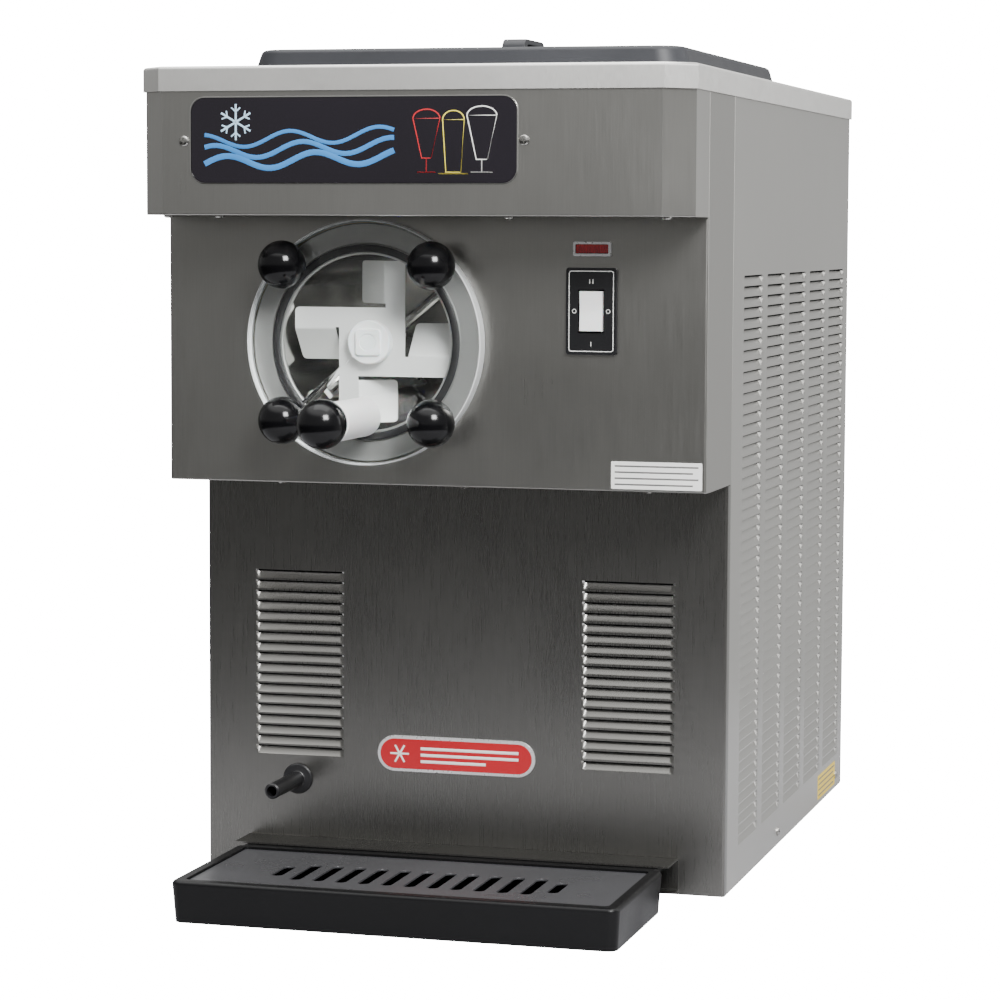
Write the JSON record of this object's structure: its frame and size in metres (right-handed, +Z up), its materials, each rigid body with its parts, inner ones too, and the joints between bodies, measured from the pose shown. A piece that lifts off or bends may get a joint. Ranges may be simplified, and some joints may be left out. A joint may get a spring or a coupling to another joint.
{
  "type": "ice cream maker",
  "caption": "Countertop stainless ice cream and frozen drink machine with a clear round barrel door, pull valve, top hopper and removable drip tray.",
  "frame": {"origin": "middle of the whole machine's footprint, at the counter", "axes": "+Z up, -Y out of the front where the door and the tray are, +X to the right as seen from the front"},
  "size_m": [0.4164, 0.7358, 0.6601],
  "materials": {
    "stainless_sheet": "vertical brushed grain, satin",
    "polished_stainless": "turned and polished",
    "galvanised_sheet": "dull zinc coating",
    "black_plastic": "smooth satin moulding",
    "grained_plastic": "fine leather-like moulded grain",
    "black_ball": "polished phenolic",
    "white_plastic": "machined and moulded white plastic",
    "clear_plastic": "clear acrylic",
    "sign_plastic": "printed sign lens",
    "lamp_glass": "white coated tube",
    "red_plastic": "red lens in a bright bezel",
    "rubber": "moulded rubber",
    "foam": "cut foam",
    "copper_tube": "drawn copper",
    "motor_enamel": "black enamel",
    "cast_metal": "as cast, edges machined",
    "gear_steel": "hobbed teeth",
    "condenser_fin": "folded fins",
    "fan_plastic": "moulded blades"
  },
  "bodies": {
    "cabinet": {"base_pan": "galvanised_sheet", "foot_1": "rubber", "foot_2": "rubber", "foot_3": "rubber", "foot_4": "rubber", "chassis_frame": "galvanised_sheet", "left_side_panel": "stainless_sheet", "right_side_panel": "stainless_sheet", "rear_panel": "stainless_sheet", "cord_gland": "black_plastic", "lower_front_panel": "stainless_sheet", "upper_front_panel": "stainless_sheet", "header_fascia": "stainless_sheet", "sign_lens": "sign_plastic", "sign_lamp": "lamp_glass", "top_cap": "stainless_sheet", "hopper": "polished_stainless", "freezing_barrel": "polished_stainless", "evaporator_coil": "copper_tube", "barrel_insulation": "foam", "door_stud_1": "polished_stainless", "door_stud_2": "polished_stainless", "door_stud_3": "polished_stainless", "door_stud_4": "polished_stainless", "gearbox_case": "cast_metal", "drive_belt": "rubber", "drive_motor": "motor_enamel", "compressor": "motor_enamel", "condenser": "condenser_fin", "fan_shroud": "galvanised_sheet", "fan_motor": "motor_enamel", "control_box": "galvanised_sheet", "switch_plate": "black_plastic", "indicator_lamp": "red_plastic", "drain_spout": "black_plastic", "tray_bracket": "stainless_sheet"},
    "door": {"door_plate": "clear_plastic", "door_seal": "rubber", "spigot_body": "white_plastic"},
    "valve": {"valve_plunger": "white_plastic", "valve_knob": "black_ball"},
    "beater": {"beater_shaft": "polished_stainless", "scraper_1": "white_plastic", "scraper_2": "white_plastic", "beater_blades": "polished_stainless", "beater_hub": "white_plastic", "output_gear": "gear_steel"},
    "gearbox_input": {"input_pinion": "gear_steel", "driven_pulley": "cast_metal"},
    "motor_rotor": {"motor_pulley": "cast_metal"},
    "fan": {"fan_blades": "fan_plastic"},
    "lid": {"hopper_lid": "grained_plastic"},
    "switch_rocker": {"rocker": "white_plastic"},
    "tray": {"drip_tray": "grained_plastic"},
    "grid": {"drip_grid": "grained_plastic"},
    "mix_feed": {"feed_tube": "white_plastic"},
    "knob_1": {"door_knob_1": "black_ball"},
    "knob_2": {"door_knob_2": "black_ball"},
    "knob_3": {"door_knob_3": "black_ball"},
    "knob_4": {"door_knob_4": "black_ball"}
  },
  "joints": [
    {"name": "door_slide", "type": "slide", "parent": "cabinet", "child": "door", "axis": [0, -1, 0], "range_m": [0, 0.06]},
    {"name": "knob_1_turn", "type": "hinge", "parent": "door", "child": "knob_1", "pos_m": [-0.107, -0.27335, 0.4818], "axis": [0, -1, 0], "range_deg": [0, 1080]},
    {"name": "knob_2_turn", "type": "hinge", "parent": "door", "child": "knob_2", "pos_m": [0.0076, -0.27335, 0.4818], "axis": [0, -1, 0], "range_deg": [0, 1080]},
    {"name": "knob_3_turn", "type": "hinge", "parent": "door", "child": "knob_3", "pos_m": [-0.107, -0.27335, 0.3672], "axis": [0, -1, 0], "range_deg": [0, 1080]},
    {"name": "knob_4_turn", "type": "hinge", "parent": "door", "child": "knob_4", "pos_m": [0.0076, -0.27335, 0.3672], "axis": [0, -1, 0], "range_deg": [0, 1080]},
    {"name": "valve_pull", "type": "slide", "parent": "door", "child": "valve", "axis": [0, -1, 0], "range_m": [0, 0.025]},
    {"name": "beater_spin", "type": "hinge", "parent": "cabinet", "child": "beater", "pos_m": [-0.0497, 0.07685, 0.4245], "axis": [0, 1, 0], "continuous": true},
    {"name": "input_spin", "type": "hinge", "parent": "cabinet", "child": "gearbox_input", "pos_m": [-0.0497, 0.07685, 0.3645], "axis": [0, 1, 0], "continuous": true},
    {"name": "motor_spin", "type": "hinge", "parent": "cabinet", "child": "motor_rotor", "pos_m": [-0.0497, 0.11185, 0.2145], "axis": [0, 1, 0], "continuous": true},
    {"name": "fan_spin", "type": "hinge", "parent": "cabinet", "child": "fan", "pos_m": [0, -0.05015, 0.1282], "axis": [0, 1, 0], "continuous": true},
    {"name": "lid_lift", "type": "slide", "parent": "cabinet", "child": "lid", "axis": [0, 0, 1], "range_m": [0, 0.15]},
    {"name": "rocker_tilt", "type": "hinge", "parent": "cabinet", "child": "switch_rocker", "pos_m": [0.121, -0.24365, 0.4495], "axis": [1, 0, 0], "range_deg": [-12, 12]},
    {"name": "tray_slide", "type": "slide", "parent": "cabinet", "child": "tray", "axis": [0, -1, 0], "range_m": [0, 0.15]},
    {"name": "grid_lift", "type": "slide", "parent": "tray", "child": "grid", "axis": [0, 0, 1], "range_m": [0, 0.04]},
    {"name": "feed_tube_turn", "type": "hinge", "parent": "cabinet", "child": "mix_feed", "pos_m": [-0.0497, 0.01485, 0.537], "axis": [0, 0, 1], "range_deg": [0, 90]}
  ],
  "couplings": [
    {"joint": "input_spin", "follows": "beater_spin", "ratio": -4},
    {"joint": "motor_spin", "follows": "beater_spin", "ratio": -9.4545}
  ]
}
